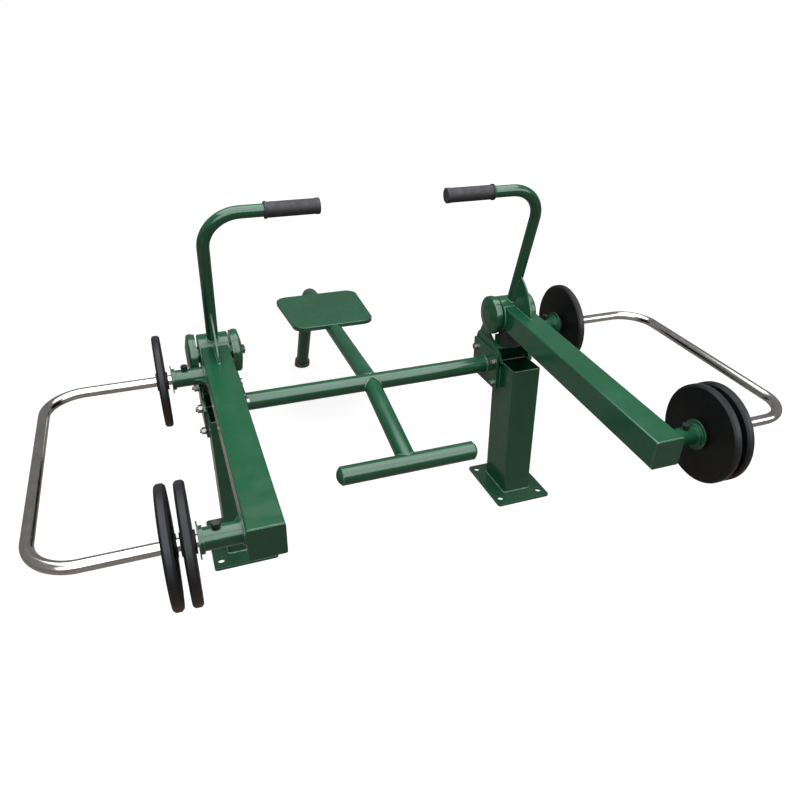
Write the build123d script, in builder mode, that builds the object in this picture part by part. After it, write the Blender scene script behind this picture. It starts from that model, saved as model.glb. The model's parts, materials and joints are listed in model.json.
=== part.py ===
from build123d import *

import os
from math import asin, cos, radians, sin, sqrt

os.makedirs("parts", exist_ok=True)

# Outdoor strength training machine, in millimetres, with +Z up and the seat at the rear (+Y)

# Columns, base plates and their ground anchor holes, placed from the column's centre
column_spacing = 980.0
column_width = 100.0
column_depth = 150.0
column_wall = 4.0
column_corner = 8.0
column_below = 146.0
base_width = 200.0
base_front = 136.0
base_rear = 122.0
base_thickness = 8.0
base_corner = 10.0
anchor_radius = 11.0
anchor_spacing_x = 152.0
anchor_spacing_y = 197.0

# Pivot axis, behind the column's centre and above the ground, from which the frame's heights hang
pivot_back = 86.0
pivot_height = 635.0
axle_radius = 15.0
axle_stub_radius = 8.0
axle_stub_end = 3.0
axle_chamfer = 1.5
axle_nut_flats = 24.0
axle_nut_height = 8.0
running_clearance = 0.05
face_clearance = 0.3
seat_clearance = 0.1

# Ears that carry the axle, measured behind the column's centre and below the pivot
ear_thickness = 8.0
ear_radius = 62.0
ear_front = 20.0
ear_rear = 188.0
ear_bottom_below = 247.0
ear_step_below = 165.0
ear_edge_back = 29.0
ear_edge_below = 116.0
ear_neck_back = 115.0
ear_neck_below = 69.0
ear_shoulder_back = 160.0
ear_shoulder_below = 65.0
ear_rear_angle = -20.0
ear_boss_radius = 24.0

# Drum caps over the axle's ends, with a low dome and a flat crown
cap_radius = 64.0
cap_depth = 15.0
cap_dome = 8.0
cap_crown_radius = 28.0
cap_crown_round = 40.0
cap_wall = 3.0
cap_round = 8.0

# Round tube of the crossbar, seat tube and footrest
tube_radius = 28.5
tube_wall = 3.0
crossbar_back = 100.0
crossbar_below = 187.0

# Crossbar flanges, pads and through bolts
flange_thickness = 8.0
flange_front = 8.0
flange_below = 115.0
flange_corner = 5.0
pad_thickness = 5.0
pad_crest_back = 77.0
pad_shoulder_back = 175.0
pad_below = 90.0
bolt_radius = 6.0
bolt_hole_radius = 6.5
bolt_flats = 19.0
bolt_head_height = 7.5
bolt_spacing_back = 140.0
bolt_spacing_up = 78.0
washer_radius = 12.0
washer_thickness = 2.5
nut_height = 10.0
bolt_end = 6.0

# Bent web behind the column's mouth and the rubber stop on its shelf
web_thickness = 6.0
web_below = 67.0
stop_width = 80.0
stop_below = 99.0
stop_front = 27.0
stop_round = 4.0

# Seat tube with its bent rear leg, and the rubber ferrule under it
seat_bend_back = 995.0
seat_bend_height = 468.0
leg_foot_back = 1257.0
seat_tube_bend = 100.0
ferrule_radius = 36.5
ferrule_height = 34.0
ferrule_sole = 6.0
ferrule_round = 3.0

# Seat pan, measured along the seat tube
seat_start = 436.0
seat_depth = 341.0
seat_front_width = 308.0
seat_rear_width = 344.0
seat_corner = 46.0
seat_sheet = 3.0
seat_rim = 16.0
seat_round = 3.0
seat_lift = 1.0
strip_width = 60.0
strip_length = 240.0
strip_sink = 4.0

# Footrest, measured in front of the column's centre
footrest_front = 266.0
footrest_height = 352.0
footrest_length = 443.0
end_cap_dome = 15.0
saddle_start = 6.0

# Arm beam
arm_slope = 4.4
beam_size = 80.0
beam_wall = 3.0
beam_corner = 5.0
beam_reach = 849.0
beam_rise = 3.5
beam_cap_thickness = 4.0
beam_hole_radius = 2.5
beam_hole_along = 795.0

# Hub of the arm and its two ball bearings
hub_radius = 60.0
hub_length = 88.0
hub_wall = 6.0
hub_edge = 2.0
bearing_radius = 31.0
bearing_width = 16.0
bearing_race = 4.5
bearing_groove = 1.2

# Handle, its gusset and its grip
handle_lean = 18.9
handle_radius = 17.0
handle_wall = 2.5
handle_reach = 467.0
handle_bend = 100.0
handle_span = 309.0
gusset_thickness = 5.0
gusset_top = 163.0
gusset_toe = 152.0
gusset_bulge = 17.0
grip_length = 148.0
grip_radius = 20.5
grip_collar_radius = 23.0
grip_collar_length = 6.0
grip_end_radius = 21.5
grip_end_length = 12.0
grip_end_wall = 4.0
grip_vent_radius = 3.5
grip_round = 2.0

# Weight rails: polished tube bent into a U, measured from the arm's pivot
rail_radius = 14.0
rail_wall = 2.0
rail_out = 458.0
rail_bend = 100.0
rail_gap = 1.0
upper_leg_along = 87.0
upper_leg_above = -21.4
lower_leg_along = 790.5
lower_leg_above = -4.5

# Sleeves that hold the rails, with their gussets and clamp bolts
sleeve_radius = 25.0
sleeve_wall = 4.0
sleeve_length = 92.0
sleeve_plug = 15.0
sleeve_fit = 0.25
sleeve_foot_radius = 29.0
sleeve_foot_length = 5.0
sleeve_ring_radius = 30.0
sleeve_ring_length = 8.0
sleeve_disc_radius = 40.0
sleeve_disc_thickness = 3.0
web_plate_thickness = 5.0
web_plate_out = 44.0
web_plate_along = 38.0
web_plate_hollow_share = 0.3
clamp_out = 53.0
clamp_screw_radius = 4.0
clamp_neck_radius = 6.5
clamp_neck_height = 5.0
clamp_knob_radius = 8.5
clamp_knob_height = 9.0
clamp_lobe_radius = 3.0
clamp_lobes = 6

# Weight plates, placed by the distance of their middle from the column's centre
plate_radius = 130.0
plate_thickness = 22.0
plate_bevel = 5.0
plate_boss_radius = 25.0
plate_boss_height = 5.0
plate_bore_radius = 15.5
plate_bore_bevel = 1.5
upper_plate_out = 157.0
inner_plate_out = 151.0
outer_plate_out = 189.0

# Excess length of a cut, and the difference within which two radii are alike
overrun = 20.0
radius_match = 0.01

# Heights that hang from the pivot
column_top = pivot_height - column_below
ear_bottom = pivot_height - ear_bottom_below
flange_top = pivot_height - flange_below
pad_top = pivot_height - pad_below
crossbar_height = pivot_height - crossbar_below
web_top = pivot_height - web_below
stop_bottom = pivot_height - stop_below

# Places that follow from the sizes
half_width = column_width / 2
column_x = column_spacing / 2
slope_cos = cos(radians(arm_slope))
slope_sin = sin(radians(arm_slope))
leg_run = leg_foot_back - seat_bend_back
leg_drop = seat_bend_height
leg_cos = leg_drop / sqrt(leg_run**2 + leg_drop**2)
lower_leg_front = lower_leg_along * slope_cos + lower_leg_above * slope_sin - pivot_back
front_reach = lower_leg_front + plate_radius
rear_reach = leg_foot_back + ferrule_radius / leg_cos
column_y = (front_reach - rear_reach) / 2
pivot_y = column_y + pivot_back
crossbar_y = column_y + crossbar_back
hub_half = hub_length / 2
flange_face_x = column_x - half_width - ear_thickness - pad_thickness - flange_thickness
bolt_ys = (crossbar_y - bolt_spacing_back / 2, crossbar_y + bolt_spacing_back / 2)
bolt_zs = (crossbar_height - bolt_spacing_up / 2, crossbar_height + bolt_spacing_up / 2)
bolt_places = [(y, z) for y in bolt_ys for z in bolt_zs]
inner_ear_face_x = column_x - half_width
outer_ear_face_x = column_x + half_width

arm_forward = Vector(0, -slope_cos, -slope_sin)
arm_up = Vector(0, -slope_sin, slope_cos)
handle_up = Vector(0, -sin(radians(handle_lean)), cos(radians(handle_lean)))
pivot = Vector(column_x, pivot_y, pivot_height)
pivot_axis = Axis(pivot, (1, 0, 0))


def on_arm(out, along, above):
    """Point of the right arm: outward, forward along the beam and above it, from the pivot."""
    return pivot + Vector(out, 0, 0) + arm_forward * along + arm_up * above


def turning_plane(point):
    """Upright plane through a point, in which a part turned about X is drawn."""
    return Plane(origin=(0, point.Y, point.Z), x_dir=(1, 0, 0), z_dir=(0, -1, 0))


def hanging_plane(point):
    """The same plane turned upside down, so that the seam of the turned face lies below."""
    return Plane(origin=(0, point.Y, point.Z), x_dir=(1, 0, 0), z_dir=(0, 1, 0))


def x_axis_at(point):
    return Axis((0, point.Y, point.Z), (1, 0, 0))


def cut_round_x(point, radius, length):
    """Cut a cylinder along X, centred on a point, out of the current part."""
    with Locations(Location((point.X, point.Y, point.Z), (0, 90, 0))):
        Cylinder(radius, length, mode=Mode.SUBTRACT)


def hexagon_radius(flats):
    return flats / 2 / cos(radians(30))


def circles_of(builder, radius):
    """Round edges of one radius on the current part."""
    circles = builder.edges().filter_by(GeomType.CIRCLE)
    return circles.filter_by(lambda edge: abs(edge.radius - radius) < radius_match)


right = {}
shared = {}

# Base plate with four anchor holes
with BuildPart() as base_plate:
    with BuildSketch(Plane.XY):
        with Locations((column_x, column_y)):
            with Locations((0, (base_rear - base_front) / 2)):
                RectangleRounded(base_width, base_front + base_rear, base_corner)
            with GridLocations(anchor_spacing_x, anchor_spacing_y, 2, 2):
                Circle(anchor_radius, mode=Mode.SUBTRACT)
    extrude(amount=base_thickness)
right["base_plate"] = base_plate

# Column: rectangular tube, open at the top, drilled for the two front bolts
with BuildPart() as column:
    with BuildSketch(Plane.XY.offset(base_thickness)):
        with Locations((column_x, column_y)):
            RectangleRounded(column_width, column_depth, column_corner)
            RectangleRounded(
                column_width - 2 * column_wall,
                column_depth - 2 * column_wall,
                column_corner - column_wall,
                mode=Mode.SUBTRACT,
            )
    extrude(amount=column_top - base_thickness)
    for bolt_z in bolt_zs:
        cut_round_x(Vector(column_x, bolt_ys[0], bolt_z), bolt_hole_radius, column_width + overrun)
right["column"] = column


def ear_outline():
    """Ear seen along X: round head about the axle, neck in front, waist behind and straight foot."""
    rear_turn = radians(ear_rear_angle)
    Polygon(
        (column_y + ear_front, ear_bottom),
        (column_y + ear_front, pivot_height - ear_step_below),
        (column_y, column_top),
        (column_y + ear_edge_back, pivot_height - ear_edge_below),
        (column_y + ear_neck_back, pivot_height - ear_neck_below),
        (pivot_y, pivot_height),
        (pivot_y + ear_radius * cos(rear_turn), pivot_height + ear_radius * sin(rear_turn)),
        (column_y + ear_shoulder_back, pivot_height - ear_shoulder_below),
        (column_y + ear_rear, flange_top),
        (column_y + ear_rear, ear_bottom),
        align=None,
    )
    with Locations((pivot_y, pivot_height)):
        Circle(ear_radius)
    with Locations((pivot_y, pivot_height)):
        Circle(axle_radius + seat_clearance, mode=Mode.SUBTRACT)
    with Locations(*bolt_places):
        Circle(bolt_hole_radius, mode=Mode.SUBTRACT)


def boss_ring():
    with Locations((pivot_y, pivot_height)):
        Circle(ear_boss_radius)
        Circle(axle_radius + seat_clearance, mode=Mode.SUBTRACT)


# Each ear has a boss that keeps the hub centred between the two
boss_height = half_width - hub_half - face_clearance
for ear_name, face_x, outward in (
    ("inner_ear", inner_ear_face_x, -1),
    ("outer_ear", outer_ear_face_x, 1),
):
    with BuildPart() as ear:
        with BuildSketch(Plane.YZ.offset(face_x)):
            ear_outline()
        extrude(amount=outward * ear_thickness)
        with BuildSketch(Plane.YZ.offset(face_x)):
            boss_ring()
        extrude(amount=-outward * boss_height)
    right[ear_name] = ear

# Web plate that stands on the column's rear wall between the ears, with a shelf bent forward
web_back_y = column_y + column_depth / 2
stop_back_y = web_back_y - web_thickness
stop_front_y = column_y + stop_front
with BuildPart() as rear_web:
    with BuildSketch(Plane.YZ.offset(column_x - half_width)):
        Polygon(
            (web_back_y, column_top),
            (web_back_y, web_top),
            (stop_back_y, web_top),
            (stop_back_y, stop_bottom),
            (stop_front_y, stop_bottom),
            (stop_front_y, stop_bottom - web_thickness),
            (stop_back_y, stop_bottom - web_thickness),
            (stop_back_y, column_top),
            align=None,
        )
    extrude(amount=column_width)
right["rear_web"] = rear_web

# Rubber stop on the shelf, shaped to the hub and to the underside of the beam
beam_under = beam_rise - beam_size / 2


def under_beam_height(y):
    """Height of the beam's underside at a place along Y."""
    along = (pivot_y - y - beam_under * slope_sin) / slope_cos
    return pivot_height - along * slope_sin + beam_under * slope_cos


with BuildPart() as stop_pad:
    with BuildSketch(Plane.YZ.offset(column_x - stop_width / 2)):
        Polygon(
            (stop_back_y, stop_bottom),
            (stop_back_y, under_beam_height(stop_back_y) - face_clearance),
            (stop_front_y, under_beam_height(stop_front_y) - face_clearance),
            (stop_front_y, stop_bottom),
            align=None,
        )
    extrude(amount=stop_width)
    cut_round_x(pivot, hub_radius + face_clearance, stop_width + overrun)
    fillet(stop_pad.edges().filter_by(Axis.X).group_by(Axis.Y)[0].group_by(Axis.Z)[0], stop_round)
right["stop_pad"] = stop_pad

# Axle with one threaded stub, on the side where the nut is
axle_half = half_width + ear_thickness
cap_reach = axle_half + cap_depth + cap_dome
stub_reach = cap_reach + axle_nut_height + axle_stub_end
with BuildPart() as axle:
    with BuildSketch(turning_plane(pivot)):
        Polygon(
            (column_x - axle_half, 0),
            (column_x - axle_half, axle_radius),
            (column_x + axle_half, axle_radius),
            (column_x + axle_half, axle_stub_radius),
            (column_x + stub_reach, axle_stub_radius),
            (column_x + stub_reach, 0),
            align=None,
        )
    revolve(axis=pivot_axis)
    chamfer(axle.edges().filter_by(GeomType.CIRCLE).group_by(Axis.X)[-1], axle_chamfer)

# Drum caps: a cup over each end of the axle, the plain one closed
with BuildPart() as pivot_caps:
    for outward, hole_radius in ((-1, 0), (1, axle_stub_radius + seat_clearance)):
        rim_x = column_x + outward * axle_half
        edge_x = rim_x + outward * cap_depth
        crown_x = edge_x + outward * cap_dome
        with BuildSketch(turning_plane(pivot)):
            Polygon(
                (rim_x, cap_radius),
                (edge_x, cap_radius),
                (crown_x, cap_crown_radius),
                (crown_x, hole_radius),
                (crown_x - outward * cap_wall, hole_radius),
                (crown_x - outward * cap_wall, cap_crown_radius),
                (edge_x - outward * cap_wall, cap_radius - cap_wall),
                (rim_x, cap_radius - cap_wall),
                align=None,
            )
        revolve(axis=pivot_axis)
    for outermost in (0, -1):
        fillet(circles_of(pivot_caps, cap_radius).group_by(Axis.X)[outermost], cap_round)
        fillet(circles_of(pivot_caps, cap_crown_radius).group_by(Axis.X)[outermost], cap_crown_round)

# Hexagon nut on the axle's stub
with BuildPart() as axle_nut:
    with BuildSketch(Plane.YZ.offset(column_x + cap_reach)):
        with Locations((pivot_y, pivot_height)):
            RegularPolygon(hexagon_radius(axle_nut_flats), 6)
            Circle(axle_stub_radius, mode=Mode.SUBTRACT)
    extrude(amount=axle_nut_height)

# The two hubs are alike, not mirrored, so the left one is a moved copy
repeated = {"axle": axle, "pivot_caps": pivot_caps}

# Pad between the inner ear and the crossbar's flange
with BuildPart() as flange_pad:
    with BuildSketch(Plane.YZ.offset(inner_ear_face_x - ear_thickness)):
        Polygon(
            (column_y + ear_front, ear_bottom),
            (column_y + ear_front, column_top),
            (column_y + ear_edge_back, pivot_height - ear_edge_below),
            (column_y + pad_crest_back, pad_top),
            (column_y + pad_shoulder_back, pad_top),
            (column_y + ear_rear, flange_top),
            (column_y + ear_rear, ear_bottom),
            align=None,
        )
        with Locations(*bolt_places):
            Circle(bolt_hole_radius, mode=Mode.SUBTRACT)
    extrude(amount=-pad_thickness)
right["flange_pad"] = flange_pad

# Flange of the crossbar, drilled for the four through bolts
with BuildPart() as crossbar_flange:
    with BuildSketch(Plane.YZ.offset(flange_face_x)):
        with Locations((column_y + (flange_front + ear_rear) / 2, (ear_bottom + flange_top) / 2)):
            RectangleRounded(ear_rear - flange_front, flange_top - ear_bottom, flange_corner)
        with Locations(*bolt_places):
            Circle(bolt_hole_radius, mode=Mode.SUBTRACT)
    extrude(amount=flange_thickness)
right["crossbar_flange"] = crossbar_flange

# Four through bolts with washers and nuts, each a solid of its own
bolt_seat_x = flange_face_x - washer_thickness
nut_seat_x = outer_ear_face_x + ear_thickness + washer_thickness
with BuildPart() as flange_bolts:
    for bolt_y, bolt_z in bolt_places:
        with BuildSketch(Plane.YZ.offset(bolt_seat_x)):
            with Locations((bolt_y, bolt_z)):
                RegularPolygon(hexagon_radius(bolt_flats), 6)
        extrude(amount=-bolt_head_height)
        with BuildSketch(Plane.YZ.offset(bolt_seat_x)):
            with Locations((bolt_y, bolt_z)):
                Circle(bolt_radius)
        extrude(amount=nut_seat_x + nut_height + bolt_end - bolt_seat_x)
with BuildPart() as flange_washers:
    for bolt_y, bolt_z in bolt_places:
        for washer_x in (bolt_seat_x, nut_seat_x - washer_thickness):
            with BuildSketch(Plane.YZ.offset(washer_x)):
                with Locations((bolt_y, bolt_z)):
                    Circle(washer_radius)
                    Circle(bolt_hole_radius, mode=Mode.SUBTRACT)
            extrude(amount=washer_thickness)
with BuildPart() as flange_nuts:
    for bolt_y, bolt_z in bolt_places:
        with BuildSketch(Plane.YZ.offset(nut_seat_x)):
            with Locations((bolt_y, bolt_z)):
                RegularPolygon(hexagon_radius(bolt_flats), 6)
                Circle(bolt_radius, mode=Mode.SUBTRACT)
        extrude(amount=nut_height)

# Crossbar between the two flanges
with BuildPart() as crossbar:
    with BuildSketch(Plane.YZ.offset(-flange_face_x)):
        with Locations((crossbar_y, crossbar_height)):
            Circle(tube_radius)
            Circle(tube_radius - tube_wall, mode=Mode.SUBTRACT)
    extrude(amount=2 * flange_face_x)
shared["crossbar"] = crossbar

crossbar_centre = Vector(0, crossbar_y, crossbar_height)
crossbar_cut_length = 4 * tube_radius

# Seat tube: runs back from the crossbar, bends down and becomes the rear leg
with BuildPart() as seat_tube:
    with BuildLine(Plane.YZ) as seat_tube_path:
        FilletPolyline(
            (crossbar_y, crossbar_height),
            (column_y + seat_bend_back, seat_bend_height),
            (column_y + leg_foot_back, 0),
            radius=seat_tube_bend,
        )
    with BuildSketch(Plane(origin=seat_tube_path.line @ 0, z_dir=seat_tube_path.line % 0)):
        Circle(tube_radius)
        Circle(tube_radius - tube_wall, mode=Mode.SUBTRACT)
    sweep()
    cut_round_x(crossbar_centre, tube_radius, crossbar_cut_length)
    split(bisect_by=Plane.XY.offset(ferrule_sole), keep=Keep.TOP)
shared["seat_tube"] = seat_tube

# Rubber ferrule: a cup along the leg, cut level with the ground
leg_direction = Vector(0, leg_run, -leg_drop).normalized()
foot_centre = Vector(0, column_y + leg_foot_back, 0)
ferrule_top = foot_centre - leg_direction * ferrule_height
with BuildPart() as foot_ferrule:
    with BuildSketch(Plane(origin=ferrule_top, x_dir=(1, 0, 0), z_dir=leg_direction)):
        Circle(ferrule_radius)
    extrude(amount=2 * ferrule_height)
    fillet(foot_ferrule.edges().group_by(Axis.Z)[-1], ferrule_round)
    with BuildSketch(Plane(origin=ferrule_top, x_dir=(1, 0, 0), z_dir=leg_direction)):
        Circle(tube_radius)
    extrude(amount=2 * ferrule_height, mode=Mode.SUBTRACT)
    split(bisect_by=Plane.XY, keep=Keep.TOP)
with BuildPart() as ferrule_floor:
    with BuildSketch(Plane(origin=ferrule_top, x_dir=(1, 0, 0), z_dir=leg_direction)):
        Circle(tube_radius)
    extrude(amount=2 * ferrule_height)
    split(bisect_by=Plane.XY, keep=Keep.TOP)
    split(bisect_by=Plane.XY.offset(ferrule_sole), keep=Keep.BOTTOM)
with BuildPart() as rubber_foot:
    add(foot_ferrule.part)
    add(ferrule_floor.part)
shared["foot_ferrule"] = rubber_foot

# Flat strip welded along the seat tube, which carries the seat pan
seat_forward = Vector(0, seat_bend_back - crossbar_back, seat_bend_height - crossbar_height).normalized()
seat_normal = Vector(0, -seat_forward.Z, seat_forward.Y)
seat_front = crossbar_centre + seat_forward * seat_start + seat_normal * tube_radius
strip_front = seat_front + seat_forward * (seat_depth - strip_length) / 2 - seat_normal * strip_sink
with BuildPart() as seat_strip:
    with BuildSketch(Plane(origin=strip_front, x_dir=(1, 0, 0), z_dir=seat_normal)):
        Rectangle(strip_width, strip_length, align=(Align.CENTER, Align.MIN))
    extrude(amount=strip_sink + seat_lift)
    with BuildSketch(Plane(origin=crossbar_centre, x_dir=(1, 0, 0), z_dir=seat_forward)):
        Circle(tube_radius)
    extrude(amount=seat_start + seat_depth, mode=Mode.SUBTRACT)
shared["seat_strip"] = seat_strip

# Seat pan: a pressed sheet with a turned-down rim, notched for the tube
seat_under = seat_front + seat_normal * (seat_lift + seat_sheet - seat_rim)
pan_plane = Plane(origin=seat_under, x_dir=(1, 0, 0), z_dir=seat_normal)


def pan_outline(inset):
    """Seat outline, narrower in front, drawn inward of the edge by the inset."""
    Polygon(
        (-seat_front_width / 2 + inset, inset),
        (seat_front_width / 2 - inset, inset),
        (seat_rear_width / 2 - inset, seat_depth - inset),
        (-seat_rear_width / 2 + inset, seat_depth - inset),
        align=None,
    )


with BuildPart() as seat_pan:
    with BuildSketch(pan_plane) as pan_shape:
        pan_outline(0)
        fillet(pan_shape.vertices(), seat_corner)
    extrude(amount=seat_rim)
    fillet(seat_pan.faces().sort_by(Axis.Z)[-1].edges(), seat_round)
    with BuildSketch(pan_plane) as pan_hollow:
        pan_outline(seat_sheet)
        fillet(pan_hollow.vertices(), seat_corner - seat_sheet)
    extrude(amount=seat_rim - seat_sheet, mode=Mode.SUBTRACT)
    with BuildSketch(Plane(origin=crossbar_centre, x_dir=(1, 0, 0), z_dir=seat_forward)):
        Circle(tube_radius + face_clearance)
    extrude(amount=seat_start + seat_depth + overrun, mode=Mode.SUBTRACT)
shared["seat_pan"] = seat_pan

# Footrest: a closed bar across the machine, with a domed cap on each end
footrest_centre = Vector(0, column_y - footrest_front, footrest_height)
footrest_half = footrest_length / 2 - end_cap_dome
with BuildPart() as footrest_bar:
    with BuildSketch(Plane.YZ.offset(-footrest_half)):
        with Locations((footrest_centre.Y, footrest_centre.Z)):
            Circle(tube_radius)
            Circle(tube_radius - tube_wall, mode=Mode.SUBTRACT)
    extrude(amount=2 * footrest_half)
shared["footrest_bar"] = footrest_bar

dome_radius = (tube_radius**2 + end_cap_dome**2) / (2 * end_cap_dome)
dome_centre = footrest_half + end_cap_dome - dome_radius
dome_middle_angle = asin(tube_radius / dome_radius) / 2
dome_middle_x = dome_centre + dome_radius * cos(dome_middle_angle)
dome_middle_radius = dome_radius * sin(dome_middle_angle)
with BuildPart() as footrest_caps:
    for outward in (-1, 1):
        dome_foot = (outward * footrest_half, 0)
        dome_edge = (outward * footrest_half, tube_radius)
        dome_tip = (outward * (footrest_half + end_cap_dome), 0)
        with BuildSketch(turning_plane(footrest_centre)):
            with BuildLine():
                Polyline(dome_tip, dome_foot, dome_edge)
                ThreePointArc(dome_edge, (outward * dome_middle_x, dome_middle_radius), dome_tip)
            make_face()
        revolve(axis=x_axis_at(footrest_centre))
shared["footrest_caps"] = footrest_caps

# Front tube from the crossbar down to the footrest
front_direction = (footrest_centre - crossbar_centre).normalized()
front_length = (footrest_centre - crossbar_centre).length
front_start = crossbar_centre + front_direction * saddle_start
with BuildPart() as front_tube:
    with BuildSketch(Plane(origin=front_start, x_dir=(1, 0, 0), z_dir=front_direction)):
        Circle(tube_radius)
        Circle(tube_radius - tube_wall, mode=Mode.SUBTRACT)
    extrude(amount=front_length - saddle_start)
    cut_round_x(crossbar_centre, tube_radius, crossbar_cut_length)
    cut_round_x(footrest_centre, tube_radius, crossbar_cut_length)
shared["front_tube"] = front_tube

# Hub of the arm: a short wide tube with a bearing seat in each end
hub_seat = bearing_width
with BuildPart() as hub:
    with BuildSketch(turning_plane(pivot)):
        Polygon(
            (column_x - hub_half, hub_radius),
            (column_x + hub_half, hub_radius),
            (column_x + hub_half, bearing_radius),
            (column_x + hub_half - hub_seat, bearing_radius),
            (column_x + hub_half - hub_seat, hub_radius - hub_wall),
            (column_x - hub_half + hub_seat, hub_radius - hub_wall),
            (column_x - hub_half + hub_seat, bearing_radius),
            (column_x - hub_half, bearing_radius),
            align=None,
        )
    revolve(axis=pivot_axis)
    chamfer(circles_of(hub, hub_radius), hub_edge)
right["hub"] = hub

# Bearings in the hub, each with a shallow groove between its rings
with BuildPart() as bearings:
    for outward in (-1, 1):
        outside_x = column_x + outward * hub_half
        inside_x = outside_x - outward * bearing_width
        groove_x = outside_x - outward * bearing_groove
        with BuildSketch(turning_plane(pivot)):
            Polygon(
                (outside_x, axle_radius + running_clearance),
                (outside_x, axle_radius + bearing_race),
                (groove_x, axle_radius + bearing_race),
                (groove_x, bearing_radius - bearing_race),
                (outside_x, bearing_radius - bearing_race),
                (outside_x, bearing_radius),
                (inside_x, bearing_radius),
                (inside_x, axle_radius + running_clearance),
                align=None,
            )
        revolve(axis=pivot_axis)
right["bearings"] = bearings

# Beam of the arm, cut to the hub, with a small hole in its inner face
beam_plane = Plane(origin=on_arm(0, 0, beam_rise), x_dir=(1, 0, 0), z_dir=arm_forward)
beam_hole_place = on_arm(-beam_size / 2, beam_hole_along, 0)
with BuildPart() as beam:
    with BuildSketch(beam_plane):
        RectangleRounded(beam_size, beam_size, beam_corner)
        RectangleRounded(
            beam_size - 2 * beam_wall,
            beam_size - 2 * beam_wall,
            beam_corner - beam_wall,
            mode=Mode.SUBTRACT,
        )
    extrude(amount=beam_reach - beam_cap_thickness)
    cut_round_x(pivot, hub_radius, column_width)
    cut_round_x(beam_hole_place, beam_hole_radius, beam_size)
right["beam"] = beam

# Flush plate that closes the beam's front
with BuildPart() as beam_cap:
    with BuildSketch(beam_plane.offset(beam_reach - beam_cap_thickness)):
        RectangleRounded(beam_size, beam_size, beam_corner)
    extrude(amount=beam_cap_thickness)
right["beam_cap"] = beam_cap

# Handle: tube that rises from the hub, leans forward and bends inward
handle_plane = Plane(origin=pivot, x_dir=(-1, 0, 0), z_dir=(0, handle_up.Z, -handle_up.Y))
with BuildPart() as handle:
    with BuildLine(handle_plane) as handle_path:
        FilletPolyline(
            (0, hub_radius / 2),
            (0, handle_reach),
            (handle_span - grip_end_wall, handle_reach),
            radius=handle_bend,
        )
    with BuildSketch(Plane(origin=handle_path.line @ 0, z_dir=handle_path.line % 0)):
        Circle(handle_radius)
        Circle(handle_radius - handle_wall, mode=Mode.SUBTRACT)
    sweep()
    cut_round_x(pivot, hub_radius, column_width)
right["handle"] = handle

# Gusset with a bowed front edge between the beam and the handle
handle_front = Vector(0, -handle_up.Z, handle_up.Y)
gusset_tip = pivot + handle_up * gusset_top + handle_front * handle_radius
gusset_foot = on_arm(0, gusset_toe, beam_rise + beam_size / 2)
gusset_middle = (gusset_tip + gusset_foot) / 2
gusset_chord = (gusset_tip - gusset_foot).normalized()
gusset_bow = gusset_middle + Vector(0, -gusset_chord.Z, gusset_chord.Y) * gusset_bulge
gusset_inside = on_arm(0, hub_radius / 2, beam_rise + beam_size / 2)
handle_inside = pivot + handle_up * gusset_top
hub_inside = pivot + handle_up * hub_radius / 2
with BuildPart() as handle_gusset:
    with BuildSketch(Plane.YZ.offset(column_x - gusset_thickness / 2)):
        with BuildLine():
            ThreePointArc(
                (gusset_tip.Y, gusset_tip.Z),
                (gusset_bow.Y, gusset_bow.Z),
                (gusset_foot.Y, gusset_foot.Z),
            )
            Polyline(
                (gusset_foot.Y, gusset_foot.Z),
                (gusset_inside.Y, gusset_inside.Z),
                (hub_inside.Y, hub_inside.Z),
                (handle_inside.Y, handle_inside.Z),
                (gusset_tip.Y, gusset_tip.Z),
            )
        make_face()
    extrude(amount=gusset_thickness)
    cut_round_x(pivot, hub_radius, column_width)
    with BuildSketch(Plane(origin=pivot, x_dir=(1, 0, 0), z_dir=handle_up)):
        Circle(handle_radius)
    extrude(amount=handle_reach, mode=Mode.SUBTRACT)
right["handle_gusset"] = handle_gusset

# Grip: a rubber sleeve with a collar at the bend, a ring at its tip and a small vent in its end
grip_centre = pivot + handle_up * handle_reach
grip_tip_x = column_x - handle_span
with BuildPart() as grip:
    with BuildSketch(turning_plane(grip_centre)):
        Polygon(
            (grip_tip_x, grip_vent_radius),
            (grip_tip_x, grip_end_radius),
            (grip_tip_x + grip_end_length, grip_end_radius),
            (grip_tip_x + grip_end_length, grip_radius),
            (grip_tip_x + grip_length - grip_collar_length, grip_radius),
            (grip_tip_x + grip_length - grip_collar_length, grip_collar_radius),
            (grip_tip_x + grip_length, grip_collar_radius),
            (grip_tip_x + grip_length, handle_radius),
            (grip_tip_x + grip_end_wall, handle_radius),
            (grip_tip_x + grip_end_wall, grip_vent_radius),
            align=None,
        )
    revolve(axis=x_axis_at(grip_centre))
    fillet(circles_of(grip, grip_end_radius).group_by(Axis.X)[0], grip_round)
    fillet(circles_of(grip, grip_collar_radius).group_by(Axis.X)[-1], grip_round)
right["grip"] = grip

# Weight rail: polished tube bent into a U outside the arm
upper_axis = on_arm(0, upper_leg_along, upper_leg_above)
lower_axis = on_arm(0, lower_leg_along, lower_leg_above)
rail_run = (lower_axis - upper_axis).length
rail_direction = (lower_axis - upper_axis).normalized()
rail_plane = Plane(origin=upper_axis, x_dir=(1, 0, 0), z_dir=Vector(1, 0, 0).cross(rail_direction))
rail_start = beam_size / 2 + rail_gap
with BuildPart() as rail:
    with BuildLine(rail_plane) as rail_path:
        FilletPolyline(
            (rail_start, 0),
            (rail_out, 0),
            (rail_out, rail_run),
            (rail_start, rail_run),
            radius=rail_bend,
        )
    with BuildSketch(Plane(origin=rail_path.line @ 0, z_dir=rail_path.line % 0)):
        Circle(rail_radius)
        Circle(rail_radius - rail_wall, mode=Mode.SUBTRACT)
    sweep()
right["rail"] = rail

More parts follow.
